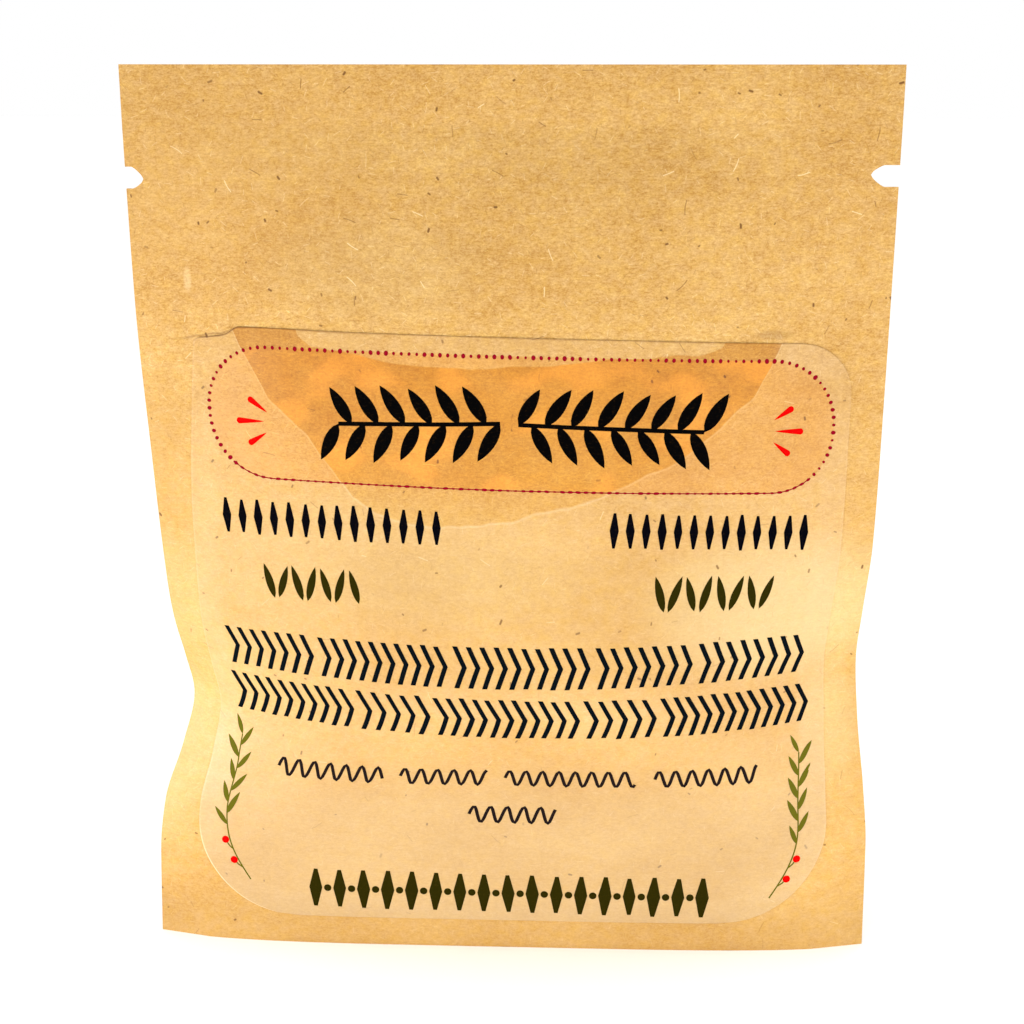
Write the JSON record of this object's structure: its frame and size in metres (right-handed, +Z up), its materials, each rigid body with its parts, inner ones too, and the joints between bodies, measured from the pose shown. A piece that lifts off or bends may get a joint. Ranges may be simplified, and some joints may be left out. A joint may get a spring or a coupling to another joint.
{
  "type": "sealed kraft paper stand-up pouch",
  "caption": "Small sealed kraft paper stand-up pouch with tear notches, a folded-in bottom and a clear label film on the front.",
  "frame": {"origin": "on the ground, under the middle of the pouch's bounding box", "axes": "+X along the pouch's width, to the right as seen from its labelled front; the front faces -Y; +Z up"},
  "size_m": [0.075, 0.0186, 0.0898],
  "materials": {
    "kraft_paper": "matt brown kraft paper with fine fibres and a light mottle",
    "label_film": "clear satin sticker film over the kraft paper, with a faint printed design"
  },
  "bodies": {
    "root": {"pouch": "kraft_paper", "label": "label_film"}
  },
  "joints": []
}
